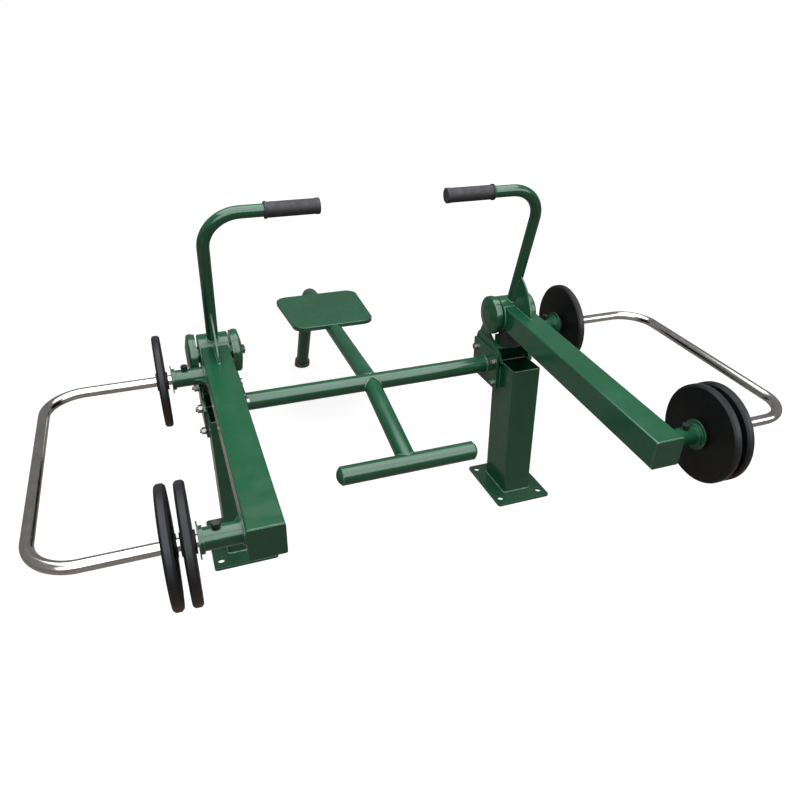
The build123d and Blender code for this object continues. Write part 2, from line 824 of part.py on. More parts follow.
# Sleeves for the rail's ends: a pipe with a foot, ring, disc and concave gusset
sleeve_x = column_x + beam_size / 2
sleeve_end_x = sleeve_x + sleeve_length
disc_x = sleeve_end_x - sleeve_disc_thickness
ring_x = disc_x - sleeve_ring_length
foot_x = sleeve_x + sleeve_foot_length
plug_x = sleeve_x + sleeve_plug
rail_bore = rail_radius + sleeve_fit
sleeve_inside = sleeve_radius - sleeve_wall
leg_places = (("upper_sleeve", upper_axis, -1), ("lower_sleeve", lower_axis, 1))
for sleeve_name, leg_axis, facing in leg_places:
    with BuildPart() as sleeve:
        with BuildSketch(hanging_plane(leg_axis)):
            Polygon(
                (sleeve_x, rail_bore),
                (sleeve_x, sleeve_foot_radius),
                (foot_x, sleeve_foot_radius),
                (foot_x, sleeve_radius),
                (ring_x, sleeve_radius),
                (ring_x, sleeve_ring_radius),
                (disc_x, sleeve_ring_radius),
                (disc_x, sleeve_disc_radius),
                (sleeve_end_x, sleeve_disc_radius),
                (sleeve_end_x, rail_bore),
                (ring_x, rail_bore),
                (ring_x, sleeve_inside),
                (plug_x, sleeve_inside),
                (plug_x, rail_bore),
                align=None,
            )
        revolve(axis=x_axis_at(leg_axis))
        gusset_level = leg_axis - arm_up * web_plate_thickness / 2
        gusset_root = facing * (sleeve_radius - sleeve_wall / 2)
        with BuildSketch(Plane(origin=gusset_level, x_dir=(1, 0, 0), z_dir=arm_up)):
            with BuildLine():
                ThreePointArc(
                    (beam_size / 2, facing * (sleeve_radius + web_plate_along)),
                    (
                        beam_size / 2 + web_plate_hollow_share * web_plate_out,
                        facing * (sleeve_radius + web_plate_hollow_share * web_plate_along),
                    ),
                    (beam_size / 2 + web_plate_out, gusset_root),
                )
                Polyline(
                    (beam_size / 2 + web_plate_out, gusset_root),
                    (beam_size / 2, gusset_root),
                    (beam_size / 2, facing * (sleeve_radius + web_plate_along)),
                )
            make_face()
        extrude(amount=web_plate_thickness)
        clamp_place = leg_axis + Vector(beam_size / 2 + clamp_out, 0, 0)
        with BuildSketch(Plane(origin=clamp_place, x_dir=(1, 0, 0), z_dir=arm_up)):
            Circle(clamp_screw_radius + seat_clearance)
        extrude(amount=sleeve_radius + overrun, mode=Mode.SUBTRACT)
    right[sleeve_name] = sleeve

# Clamp bolts with lobed knobs, whose screws bear on the rail
with BuildPart() as clamp_bolts:
    for sleeve_name, leg_axis, facing in leg_places:
        clamp_place = leg_axis + Vector(beam_size / 2 + clamp_out, 0, 0)
        clamp_plane = Plane(origin=clamp_place, x_dir=(1, 0, 0), z_dir=arm_up)
        with BuildSketch(clamp_plane.offset(rail_radius)):
            Circle(clamp_screw_radius)
        extrude(amount=sleeve_radius - rail_radius)
        with BuildSketch(clamp_plane.offset(sleeve_radius)):
            Circle(clamp_neck_radius)
        extrude(amount=clamp_neck_height)
        with BuildSketch(clamp_plane.offset(sleeve_radius + clamp_neck_height)):
            Circle(clamp_knob_radius)
            with PolarLocations(clamp_knob_radius - clamp_lobe_radius / 2, clamp_lobes):
                Circle(clamp_lobe_radius)
        extrude(amount=clamp_knob_height)
right["clamp_bolts"] = clamp_bolts

# Weight plates: bevelled discs with a low boss on each face, hung on the rail's legs
plate_drop = plate_bore_radius - rail_radius - face_clearance
plate_places = (
    ("upper_plate", upper_axis, upper_plate_out),
    ("inner_plate", lower_axis, inner_plate_out),
    ("outer_plate", lower_axis, outer_plate_out),
)
for plate_name, leg_axis, plate_out in plate_places:
    plate_centre = leg_axis + Vector(plate_out, 0, -plate_drop)
    inner_x = plate_centre.X - plate_thickness / 2
    outer_x = plate_centre.X + plate_thickness / 2
    inner_boss_x = inner_x - plate_boss_height
    outer_boss_x = outer_x + plate_boss_height
    with BuildPart() as plate:
        with BuildSketch(turning_plane(plate_centre)):
            Polygon(
                (inner_boss_x, plate_bore_radius + plate_bore_bevel),
                (inner_boss_x, plate_boss_radius),
                (inner_x, plate_boss_radius),
                (inner_x, plate_radius - plate_bevel),
                (inner_x + plate_bevel, plate_radius),
                (outer_x - plate_bevel, plate_radius),
                (outer_x, plate_radius - plate_bevel),
                (outer_x, plate_boss_radius),
                (outer_boss_x, plate_boss_radius),
                (outer_boss_x, plate_bore_radius + plate_bore_bevel),
                (outer_boss_x - plate_bore_bevel, plate_bore_radius),
                (inner_boss_x + plate_bore_bevel, plate_bore_radius),
                align=None,
            )
        revolve(axis=x_axis_at(plate_centre))
    right[plate_name] = plate

# Names of the pieces, the left ones mirrored from the right ones
pieces = {}
for name, builder in shared.items():
    pieces[name] = builder.part
for name, builder in right.items():
    pieces[f"right_{name}"] = builder.part
    pieces[f"left_{name}"] = mirror(builder.part, about=Plane.YZ)
for name, builder in repeated.items():
    pieces[f"right_{name}"] = builder.part
    pieces[f"left_{name}"] = Pos(-column_spacing, 0, 0) * builder.part


def both_sides(builder, left_part):
    """Group of like fasteners: the right side's solids and the left side's."""
    return Compound(children=builder.part.solids() + left_part.solids())


for name, builder in (
    ("flange_bolts", flange_bolts),
    ("flange_washers", flange_washers),
    ("flange_nuts", flange_nuts),
):
    pieces[name] = both_sides(builder, mirror(builder.part, about=Plane.YZ))
pieces["axle_nuts"] = both_sides(axle_nut, Pos(-column_spacing, 0, 0) * axle_nut.part)

for name, piece in pieces.items():
    piece.label = name
    export_step(piece, f"parts/{name}.step")
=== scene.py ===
import json
import math
import random

import bpy
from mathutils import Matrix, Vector


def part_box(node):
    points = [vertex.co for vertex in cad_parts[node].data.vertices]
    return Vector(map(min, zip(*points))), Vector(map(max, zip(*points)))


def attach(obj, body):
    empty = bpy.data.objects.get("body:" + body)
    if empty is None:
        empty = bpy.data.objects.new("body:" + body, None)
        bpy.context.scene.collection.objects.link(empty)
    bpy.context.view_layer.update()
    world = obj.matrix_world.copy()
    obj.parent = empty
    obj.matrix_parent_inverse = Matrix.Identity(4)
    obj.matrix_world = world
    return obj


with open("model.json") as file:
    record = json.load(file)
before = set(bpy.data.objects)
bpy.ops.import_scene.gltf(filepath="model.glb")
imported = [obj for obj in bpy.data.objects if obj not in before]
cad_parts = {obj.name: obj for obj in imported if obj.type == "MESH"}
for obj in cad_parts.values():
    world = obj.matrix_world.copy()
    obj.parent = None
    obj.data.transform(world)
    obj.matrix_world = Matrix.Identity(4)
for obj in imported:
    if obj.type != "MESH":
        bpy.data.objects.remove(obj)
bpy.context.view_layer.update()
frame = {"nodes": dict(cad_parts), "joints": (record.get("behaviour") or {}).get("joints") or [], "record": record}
nodes = frame["nodes"]
joints = {joint["name"]: joint for joint in frame["joints"]}

MM = 0.001
SIDES = (("left", -1), ("right", 1))
across = Vector((1, 0, 0))
rearward = Vector((0, 1, 0))
upright = Vector((0, 0, 1))


# Places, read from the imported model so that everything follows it
pivot = Vector(joints["right_arm_pivot"]["pos_m"])
column_low, column_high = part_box("right_column")
crossbar_low, crossbar_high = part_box("crossbar")
footrest_low, footrest_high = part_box("footrest_bar")
hub_low, hub_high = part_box("right_hub")
gusset_low, gusset_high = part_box("right_handle_gusset")
strip_low, strip_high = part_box("seat_strip")
plate_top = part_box("right_base_plate")[1].z
ear_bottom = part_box("right_outer_ear")[0].z
bolts_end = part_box("flange_bolts")[1].x
nuts_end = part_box("flange_nuts")[1].x
column_centre = (column_low + column_high) / 2
column_x = column_centre.x
column_y = column_centre.y
column_top = column_high.z
crossbar_centre = (crossbar_low + crossbar_high) / 2
footrest_centre = (footrest_low + footrest_high) / 2
hub_radius = (hub_high.z - hub_low.z) / 2
tube_radius = (crossbar_high.z - crossbar_low.z) / 2
gusset_half = (gusset_high.x - gusset_low.x) / 2

# Sizes of the arm, the same as in the part's source
ARM_SLOPE = math.radians(4.4)
HANDLE_LEAN = math.radians(18.9)
HANDLE_RADIUS = 17 * MM
BEAM_HALF = 40 * MM
BEAM_RISE = 3.5 * MM
BEAM_TOP = BEAM_RISE + BEAM_HALF
BEAM_UNDERSIDE = BEAM_RISE - BEAM_HALF
BEAM_CAP_START = 845 * MM
# Each sleeve's place along and above the arm's line, and the way its gusset points
SLEEVES = ((87.0 * MM, -21.4 * MM, 1), (790.5 * MM, -4.5 * MM, -1))

arm_forward = Vector((0, -math.cos(ARM_SLOPE), -math.sin(ARM_SLOPE)))
arm_up = Vector((0, -math.sin(ARM_SLOPE), math.cos(ARM_SLOPE)))
handle_up = Vector((0, -math.sin(HANDLE_LEAN), math.cos(HANDLE_LEAN)))
handle_front = Vector((0, -math.cos(HANDLE_LEAN), -math.sin(HANDLE_LEAN)))


def on_arm(out, along, above):
    """Point of the right arm, from the pivot, in metres."""
    return pivot + across * out + arm_forward * along + arm_up * above


def at_x(point, x):
    """The same point, moved to another x."""
    return Vector((x, point.y, point.z))


# Node trees

# Part of the white background that reflections see; all of it would turn the paint pale
GLOSS_SHARE = 0.12


class Nodes:
    """A node tree under construction."""

    def __init__(self, tree):
        self.tree = tree
        tree.nodes.clear()

    def node(self, kind, **settings):
        made = self.tree.nodes.new(kind)
        for key, value in settings.items():
            setattr(made, key, value)
        return made

    def link(self, source, target):
        self.tree.links.new(source, target)

    def ramp(self, source, low, high, to_low=0.0, to_high=1.0):
        """Source from low..high to to_low..to_high, clamped."""
        made = self.node("ShaderNodeMapRange")
        made.inputs["From Min"].default_value = low
        made.inputs["From Max"].default_value = high
        made.inputs["To Min"].default_value = to_low
        made.inputs["To Max"].default_value = to_high
        self.link(source, made.inputs["Value"])
        return made.outputs["Result"]

    def math(self, operation, first, second=None):
        made = self.node("ShaderNodeMath", operation=operation)
        for socket, value in zip(made.inputs, (first, second)):
            if value is None:
                continue
            if isinstance(value, (int, float)):
                socket.default_value = value
            else:
                self.link(value, socket)
        return made.outputs[0]

    def mix(self, amount, first, second):
        """Colour mix; each colour is a triple or a socket."""
        made = self.node("ShaderNodeMix", data_type="RGBA")
        self.link(amount, made.inputs["Factor"])
        colour_sockets = [s for s in made.inputs if s.type == "RGBA"]
        for socket, value in zip(colour_sockets, (first, second)):
            if isinstance(value, tuple):
                socket.default_value = (*value, 1)
            else:
                self.link(value, socket)
        return [s for s in made.outputs if s.type == "RGBA"][0]

    def part(self, axis, source):
        made = self.node("ShaderNodeSeparateXYZ")
        self.link(source, made.inputs[0])
        return made.outputs[axis]

    def coordinates(self, kind):
        return self.node("ShaderNodeTexCoord").outputs[kind]

    def background_share(self):
        """1 to the camera and through glass, a part of it to reflections."""
        rays = self.node("ShaderNodeLightPath").outputs
        share = self.math("MULTIPLY", rays["Is Glossy Ray"], GLOSS_SHARE)
        for ray in ("Is Camera Ray", "Is Transmission Ray"):
            share = self.math("MAXIMUM", rays[ray], share)
        return share


class Shader(Nodes):
    """A surface material under construction."""

    def __init__(self, name):
        self.material = bpy.data.materials.new(name)
        self.material.use_nodes = True
        super().__init__(self.material.node_tree)
        output = self.node("ShaderNodeOutputMaterial")
        self.surface = self.node("ShaderNodeBsdfPrincipled")
        self.link(self.surface.outputs["BSDF"], output.inputs["Surface"])
        self.place = self.coordinates("Object")

    def set(self, **values):
        """Constants on the surface shader's own sockets."""
        for key, value in values.items():
            self.surface.inputs[key.replace("_", " ")].default_value = value

    def noise(self, scale, detail=3.0, roughness=0.5, place=None):
        made = self.node("ShaderNodeTexNoise")
        made.inputs["Scale"].default_value = scale
        made.inputs["Detail"].default_value = detail
        made.inputs["Roughness"].default_value = roughness
        self.link(place or self.place, made.inputs["Vector"])
        return made.outputs["Fac"]

    def stretched(self, scale):
        """Object coordinates, stretched by a scale on each axis."""
        made = self.node("ShaderNodeMapping")
        made.inputs["Scale"].default_value = scale
        self.link(self.place, made.inputs["Vector"])
        return made.outputs["Vector"]

    def normal(self):
        return self.node("ShaderNodeNewGeometry").outputs["Normal"]

    def upward(self):
        """1 on faces that look straight up, 0 on walls, -1 on faces that look down."""
        return self.part("Z", self.normal())

    def soft_edges(self, radius):
        made = self.node("ShaderNodeBevel", samples=4)
        made.inputs["Radius"].default_value = radius
        return made.outputs["Normal"]

    def edge_mask(self, radius):
        """1 at sharp edges, 0 on flat faces."""
        made = self.node("ShaderNodeVectorMath", operation="DOT_PRODUCT")
        self.link(self.soft_edges(radius), made.inputs[0])
        self.link(self.normal(), made.inputs[1])
        return self.ramp(made.outputs["Value"], 0.98, 0.80)

    def bump(self, height, strength, distance, normal=None):
        made = self.node("ShaderNodeBump")
        made.inputs["Strength"].default_value = strength
        made.inputs["Distance"].default_value = distance
        self.link(height, made.inputs["Height"])
        if normal is not None:
            self.link(normal, made.inputs["Normal"])
        return made.outputs["Normal"]

    def finish(self, colour, roughness, normal):
        self.link(colour, self.surface.inputs["Base Color"])
        self.link(roughness, self.surface.inputs["Roughness"])
        self.link(normal, self.surface.inputs["Normal"])
        return self.material


# Materials


def green_paint():
    """Glossy deep green powder coat with orange peel, dust, scuffs and rubbed edges; the paler edges, most on top,
    are also a painted highlight, and near the ground the paint is duller with dust and painted shade.
    """
    s = Shader("green_paint")
    cloud = s.ramp(s.noise(5.0, 4.0), 0.3, 0.7)
    fine = s.ramp(s.noise(38.0, 5.0, 0.6), 0.35, 0.7)
    base = s.mix(cloud, (0.0085, 0.090, 0.037), (0.0132, 0.121, 0.054))
    base = s.mix(s.math("MULTIPLY", fine, 0.35), base, (0.020, 0.112, 0.052))
    dust_patch = s.ramp(s.noise(11.0, 6.0, 0.65), 0.46, 0.72)
    dust = s.math("MULTIPLY", s.ramp(s.upward(), 0.2, 0.95), dust_patch)
    base = s.mix(s.math("MULTIPLY", dust, 0.08), base, (0.12, 0.21, 0.15))
    # Duller and darker near the ground: dust, and painted shade where the column and beam shade the base plates
    low = s.ramp(s.part("Z", s.place), 0.0, 0.09, 1.0, 0.0)
    ground = s.math("MULTIPLY", low, s.ramp(s.noise(17.0, 6.0, 0.65), 0.25, 0.6, 0.4, 1.0))
    base = s.mix(s.math("MULTIPLY", ground, 0.5), base, (0.030, 0.052, 0.034))
    # Paler edges, most of all on top: wear, and a painted highlight where edges catch the light
    rub_and_highlight = s.math("MULTIPLY", s.edge_mask(0.0026), s.ramp(s.noise(55.0, 4.0), 0.26, 0.50))
    rub_and_highlight = s.math("MULTIPLY", rub_and_highlight, s.ramp(s.upward(), -0.3, 0.6, 0.45, 0.9))
    base = s.mix(rub_and_highlight, base, (0.150, 0.345, 0.245))
    scuff = s.noise(9.0, 8.0, 0.7, place=s.stretched((1.0, 14.0, 3.0)))
    scuff = s.ramp(scuff, 0.62, 0.82)
    base = s.mix(s.math("MULTIPLY", scuff, 0.25), base, (0.045, 0.17, 0.10))
    gloss = s.ramp(s.noise(14.0, 5.0), 0.3, 0.7, 0.13, 0.21)
    roughness = s.math("ADD", gloss, s.math("MULTIPLY", dust, 0.10))
    peel = s.math("ADD", s.noise(420.0, 2.0), s.math("MULTIPLY", s.noise(130.0, 2.0), 0.7))
    normal = s.bump(peel, 0.08, 0.0006, s.soft_edges(0.0015))
    s.set(Specular_IOR_Level=0.55)
    return s.finish(base, roughness, normal)


def weld_paint():
    """The same paint over a weld, paler in patches, which is partly a painted highlight of the light the beads
    catch, and with a coarser grain.
    """
    s = Shader("weld_paint")
    cloud = s.ramp(s.noise(60.0, 4.0), 0.3, 0.7)
    # The pale patches are partly a painted highlight on the beads
    base = s.mix(cloud, (0.030, 0.125, 0.068), (0.120, 0.300, 0.215))
    grain = s.math("ADD", s.noise(700.0, 3.0), s.noise(260.0, 2.0))
    s.set(Specular_IOR_Level=0.7)
    roughness = s.ramp(s.noise(90.0, 3.0), 0.3, 0.7, 0.18, 0.30)
    return s.finish(base, roughness, s.bump(grain, 0.25, 0.0006))


def zinc_steel(name, dark_from, dark_to):
    """Zinc with faint bluish and yellowish clouds; near black from one |x| to another, which between the ears is
    painted shade.
    """
    s = Shader(name)
    cloud = s.ramp(s.noise(85.0, 4.0), 0.3, 0.7)
    base = s.mix(cloud, (0.24, 0.245, 0.25), (0.33, 0.32, 0.29))
    stain = s.ramp(s.noise(160.0, 5.0, 0.6), 0.52, 0.72)
    base = s.mix(s.math("MULTIPLY", stain, 0.7), base, (0.085, 0.068, 0.050))
    # Near black between two |x|; between the ears this is painted shade
    out = s.math("ABSOLUTE", s.part("X", s.place))
    past_start = s.ramp(out, dark_from, dark_from + 2 * MM)
    before_end = s.ramp(out, dark_to, dark_to - 2 * MM)
    darkened = s.math("MULTIPLY", past_start, before_end)
    base = s.mix(s.math("MULTIPLY", darkened, 0.95), base, (0.010, 0.011, 0.009))
    roughness = s.ramp(s.noise(220.0, 4.0), 0.3, 0.7, 0.22, 0.42)
    normal = s.bump(s.noise(900.0, 2.0), 0.12, 0.0004, s.soft_edges(0.0008))
    s.set(Metallic=1.0)
    return s.finish(base, roughness, normal)


def polished_tube():
    """Polished stainless tube, with faint clouds and brown staining."""
    s = Shader("polished_tube")
    cloud = s.ramp(s.noise(12.0, 4.0, 0.6), 0.3, 0.7)
    base = s.mix(cloud, (0.48, 0.455, 0.435), (0.60, 0.575, 0.555))
    stain = s.ramp(s.noise(16.0, 6.0, 0.65), 0.52, 0.72)
    base = s.mix(s.math("MULTIPLY", stain, 0.45), base, (0.38, 0.305, 0.245))
    roughness = s.ramp(s.noise(40.0, 5.0), 0.3, 0.7, 0.11, 0.19)
    normal = s.bump(s.noise(300.0, 2.0), 0.03, 0.0003)
    s.set(Metallic=1.0)
    return s.finish(base, roughness, normal)


def plate_rubber():
    """Near black rubber of the weights: a greyer, banded rim, its paleness a painted sheen, that turns brown
    underneath in a painted reflection of the floor; paler edges are wear and a painted highlight.
    """
    s = Shader("disc_rubber")
    cloud = s.ramp(s.noise(9.0, 5.0), 0.3, 0.7)
    base = s.mix(cloud, (0.0030, 0.0030, 0.0036), (0.0055, 0.0054, 0.0062))
    facing_out = s.math("ABSOLUTE", s.part("X", s.normal()))
    # The paler, bluish rim is a painted sheen
    rim = s.ramp(facing_out, 0.85, 0.35)
    base = s.mix(s.math("MULTIPLY", rim, 0.8), base, (0.0120, 0.0110, 0.0160))
    bands = s.noise(11.0, 3.0, 0.6, place=s.stretched((16.0, 0.5, 0.5)))
    bands = s.math("MULTIPLY", s.ramp(bands, 0.42, 0.60), rim)
    base = s.mix(s.math("MULTIPLY", bands, 0.6), base, (0.0300, 0.0280, 0.0360))
    dust = s.ramp(s.noise(26.0, 7.0, 0.7), 0.5, 0.75)
    base = s.mix(s.math("MULTIPLY", dust, 0.25), base, (0.022, 0.016, 0.012))
    # Brown on the rim's down-facing side: a painted reflection of the floor
    under = s.math("MULTIPLY", s.ramp(s.upward(), 0.05, -0.5), rim)
    base = s.mix(s.math("MULTIPLY", under, 0.85), base, (0.075, 0.036, 0.018))
    # Paler edges: wear, and a painted edge highlight
    rub_and_highlight = s.math("MULTIPLY", s.edge_mask(0.003), s.ramp(s.noise(70.0, 4.0), 0.3, 0.6))
    base = s.mix(s.math("MULTIPLY", rub_and_highlight, 0.6), base, (0.050, 0.048, 0.054))
    grain = s.math("ADD", s.noise(900.0, 3.0), s.math("MULTIPLY", s.noise(55.0, 4.0), 1.5))
    normal = s.bump(grain, 0.16, 0.0006, s.soft_edges(0.0022))
    roughness = s.ramp(s.noise(35.0, 4.0), 0.3, 0.7, 0.38, 0.55)
    s.set(Specular_IOR_Level=0.24)
    return s.finish(base, roughness, normal)


def grip_rubber():
    """Soft dark grey rubber of the grips, paler in patches on top: painted light from above, and wear."""
    s = Shader("grip_rubber")
    cloud = s.ramp(s.noise(30.0, 5.0), 0.3, 0.7)
    base = s.mix(cloud, (0.0105, 0.0092, 0.0125), (0.0190, 0.0165, 0.0225))
    # Paler on top: painted light falling from above, and wear in patches
    light_and_wear_patch = s.ramp(s.noise(48.0, 6.0), 0.42, 0.7)
    top_light_and_wear = s.math("MULTIPLY", s.ramp(s.upward(), 0.0, 0.9), light_and_wear_patch)
    base = s.mix(s.math("MULTIPLY", top_light_and_wear, 0.5), base, (0.054, 0.046, 0.062))
    normal = s.bump(s.noise(1100.0, 3.0), 0.25, 0.0006, s.soft_edges(0.0010))
    roughness = s.ramp(s.noise(80.0, 4.0), 0.3, 0.7, 0.52, 0.70)
    s.set(Sheen_Weight=0.06, Specular_IOR_Level=0.36)
    return s.finish(base, roughness, normal)


def black_rubber():
    """Moulded black rubber of the stops and of the ferrule, dusty towards the ground."""
    s = Shader("black_rubber")
    cloud = s.ramp(s.noise(24.0, 5.0), 0.3, 0.7)
    base = s.mix(cloud, (0.010, 0.010, 0.011), (0.022, 0.021, 0.021))
    low = s.ramp(s.part("Z", s.place), 0.0, 0.045, 1.0, 0.0)
    dust = s.math("MULTIPLY", low, s.ramp(s.noise(60.0, 6.0), 0.35, 0.65))
    base = s.mix(s.math("MULTIPLY", dust, 0.5), base, (0.12, 0.105, 0.085))
    normal = s.bump(s.noise(650.0, 3.0), 0.22, 0.0006, s.soft_edges(0.0012))
    roughness = s.ramp(s.noise(50.0, 4.0), 0.3, 0.7, 0.5, 0.7)
    return s.finish(base, roughness, normal)


def black_plastic():
    """Black moulded knob with a faint satin grain."""
    s = Shader("black_plastic")
    cloud = s.ramp(s.noise(120.0, 4.0), 0.3, 0.7)
    base = s.mix(cloud, (0.010, 0.010, 0.011), (0.022, 0.022, 0.024))
    normal = s.bump(s.noise(1200.0, 2.0), 0.15, 0.0004, s.soft_edges(0.0008))
    roughness = s.ramp(s.noise(140.0, 3.0), 0.3, 0.7, 0.30, 0.45)
    return s.finish(base, roughness, normal)


materials = {
    "green_paint": green_paint(),
    # Between the ears the axles and bolt shanks are near black: painted shade in the gap
    "zinc_steel": zinc_steel("zinc_steel", column_low.x, column_high.x),
    "polished_tube": polished_tube(),
    "plate_rubber": plate_rubber(),
    "grip_rubber": grip_rubber(),
    "black_rubber": black_rubber(),
    "black_plastic": black_plastic(),
}
weld_material = weld_paint()

for entry in frame["record"]["subparts"]:
    dressed = nodes[entry["node"]]
    dressed.data.materials.clear()
    dressed.data.materials.append(materials[entry["material_slot"]])

# The axle nuts are near black all over: no |x| on the machine reaches one metre
nodes["axle_nuts"].data.materials[0] = zinc_steel("axle_end_steel", 0.0, 1.0)


# Objects


def add_object(name, data):
    made = bpy.data.objects.new(name, data)
    bpy.context.scene.collection.objects.link(made)
    return made


def add_mesh(name, points, faces, material):
    mesh = bpy.data.meshes.new(name)
    mesh.from_pydata(points, [], faces)
    mesh.update()
    mesh.materials.append(material)
    return add_object(name, mesh)


# Weld beads

BEAD_SIDES = 8
BEAD_PITCH = 3.4 * MM
RIPPLE_STEPS = 4
RING_STEPS = 48


class Bead:
    """One mesh that gathers weld beads laid along paths."""

    def __init__(self, name, body):
        self.name = name
        self.body = body
        self.points = []
        self.faces = []
        self.random = random.Random(name)

    def lay(self, path, radius, closed=False, pitch=BEAD_PITCH):
        """A rippled bead along a path of points; radius is its half width."""
        spots = resample(path, pitch / RIPPLE_STEPS, closed)
        count = len(spots)
        first = len(self.points)
        swell = [self.random.uniform(0.88, 1.12) for _ in range(count // RIPPLE_STEPS + 2)]
        for i, spot in enumerate(spots):
            before = spots[(i - 1) % count] if closed or i > 0 else spots[i]
            after = spots[(i + 1) % count] if closed or i < count - 1 else spots[i]
            along = (after - before).normalized()
            guide = across if abs(along.x) < 0.8 else upright
            side = along.cross(guide).normalized()
            up = side.cross(along)
            phase = (i % RIPPLE_STEPS) / RIPPLE_STEPS
            ripple = 0.86 + 0.2 * math.sin(math.pi * phase)
            size = radius * ripple * swell[i // RIPPLE_STEPS]
            if not closed:
                size *= min(1.0, 0.35 + 0.3 * min(i, count - 1 - i))
            for k in range(BEAD_SIDES):
                turn = math.tau * k / BEAD_SIDES
                self.points.append(spot + (side * math.cos(turn) + up * math.sin(turn)) * size)
        for i in range(count if closed else count - 1):
            a = first + i * BEAD_SIDES
            b = first + ((i + 1) % count) * BEAD_SIDES
            for k in range(BEAD_SIDES):
                n = (k + 1) % BEAD_SIDES
                self.faces.append((a + k, a + n, b + n, b + k))
        if not closed:
            last = first + (count - 1) * BEAD_SIDES
            self.faces.append(tuple(first + k for k in reversed(range(BEAD_SIDES))))
            self.faces.append(tuple(last + k for k in range(BEAD_SIDES)))

    def build(self, mirrored=False):
        points = self.points
        faces = self.faces
        if mirrored:
            points = [at_x(p, -p.x) for p in points]
            faces = [tuple(reversed(f)) for f in faces]
        made = add_mesh(self.name, [tuple(p) for p in points], faces, weld_material)
        made.data.polygons.foreach_set("use_smooth", [True] * len(faces))
        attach(made, self.body)


def resample(path, step, closed):
    """Points at even steps along a path."""
    corners = [Vector(p) for p in path]
    if closed:
        corners.append(corners[0])
    lengths = [(b - a).length for a, b in zip(corners, corners[1:])]
    total = sum(lengths)
    count = max(3, round(total / step))
    even_step = total / count
    spots = []
    index = 0
    passed = 0.0
    for i in range(count if closed else count + 1):
        target = i * even_step
        while index < len(lengths) - 1 and passed + lengths[index] < target:
            passed += lengths[index]
            index += 1
        share = (target - passed) / lengths[index] if lengths[index] else 0
        spots.append(corners[index].lerp(corners[index + 1], min(max(share, 0), 1)))
    return spots


def ring(centre, radius, start=0.0, end=math.tau):
    """Circle round the X axis, or a part of one."""
    full = end - start >= math.tau - 0.001
    first = across.cross(upright)
    second = across.cross(first)
    steps = RING_STEPS if full else RING_STEPS + 1
    turns = [start + (end - start) * i / RING_STEPS for i in range(steps)]
    return [centre + (first * math.cos(t) + second * math.sin(t)) * radius for t in turns]


def saddle(centre, direction, radius, drum_radius):
    """Where a tube meets a drum that lies along X; centre is on the drum's axis."""
    direction = Vector(direction).normalized()
    second = direction.cross(across).normalized()
    spots = []
    for i in range(RING_STEPS):
        turn = math.tau * i / RING_STEPS
        offset = across * math.cos(turn) * radius + second * math.sin(turn) * radius
        reach = math.sqrt(max(drum_radius**2 - at_x(offset, 0).length_squared, 0.0))
        spots.append(centre + offset + direction * reach)
    return spots


def rectangle(centre, along, beside, half_along, half_beside, corner):
    """Closed rectangle with rounded corners."""
    spots = []
    for sign_a, sign_b, start in ((1, 1, 0), (-1, 1, 90), (-1, -1, 180), (1, -1, 270)):
        reach_along = along * sign_a * (half_along - corner)
        reach_beside = beside * sign_b * (half_beside - corner)
        for step in range(5):
            turn = math.radians(start + 22.5 * step)
            rounding = (along * math.cos(turn) + beside * math.sin(turn)) * corner
            spots.append(centre + reach_along + reach_beside + rounding)
    return spots


# Seams of the standing frame, by their distance from the column's middle
COLUMN_SEAM_X = 50.5 * MM
COLUMN_SEAM_Y = 75.5 * MM
COLUMN_CORNER = 8 * MM
EAR_SEAM_X = 50.8 * MM
EAR_SEAM_FRONT = 20 * MM
EAR_SEAM_REAR = 74 * MM
EAR_SEAM_HEIGHT = 82 * MM
EAR_RIM_FRONT = 2 * MM
EAR_RIM_REAR = 72 * MM
RIM_HALF = 45 * MM
WEB_SEAM_HALF = 44 * MM
WEB_SEAM_REAR = 75.4 * MM
FLANGE_SEAM_X = 71 * MM
STRIP_SEAM_X = 15.4 * MM

frame_welds = Bead("frame_welds", "frame")
for _, side in SIDES:
    foot = Vector((side * column_x, column_y, plate_top + 1.0 * MM))
    outline = rectangle(foot, across, rearward, COLUMN_SEAM_X, COLUMN_SEAM_Y, COLUMN_CORNER)
    frame_welds.lay(outline, radius=3.2 * MM, closed=True)
    for edge in (-1, 1):
        x = side * column_x + edge * EAR_SEAM_X
        front = column_y + EAR_SEAM_FRONT
        corner = (x, front, ear_bottom)
        frame_welds.lay([corner, (x, column_y + EAR_SEAM_REAR, ear_bottom)], radius=2.4 * MM)
        frame_welds.lay([corner, (x, front, ear_bottom + EAR_SEAM_HEIGHT)], radius=2.4 * MM)
        ear_rim = [(x, column_y + y, column_top) for y in (EAR_RIM_FRONT, EAR_RIM_REAR)]
        frame_welds.lay(ear_rim, radius=1.8 * MM)
    front_rim = [
        (side * (column_x + edge * RIM_HALF), column_low.y + 2 * MM, column_top + 0.2 * MM)
        for edge in (-1, 1)
    ]
    frame_welds.lay(front_rim, radius=1.7 * MM)
    web_foot = [
        (side * (column_x + edge * WEB_SEAM_HALF), column_y + WEB_SEAM_REAR, column_top)
        for edge in (-1, 1)
    ]
    frame_welds.lay(web_foot, radius=2.0 * MM)
    flange = at_x(crossbar_centre, side * (column_x - FLANGE_SEAM_X))
    frame_welds.lay(ring(flange, tube_radius + 0.8 * MM), radius=3.0 * MM, closed=True)

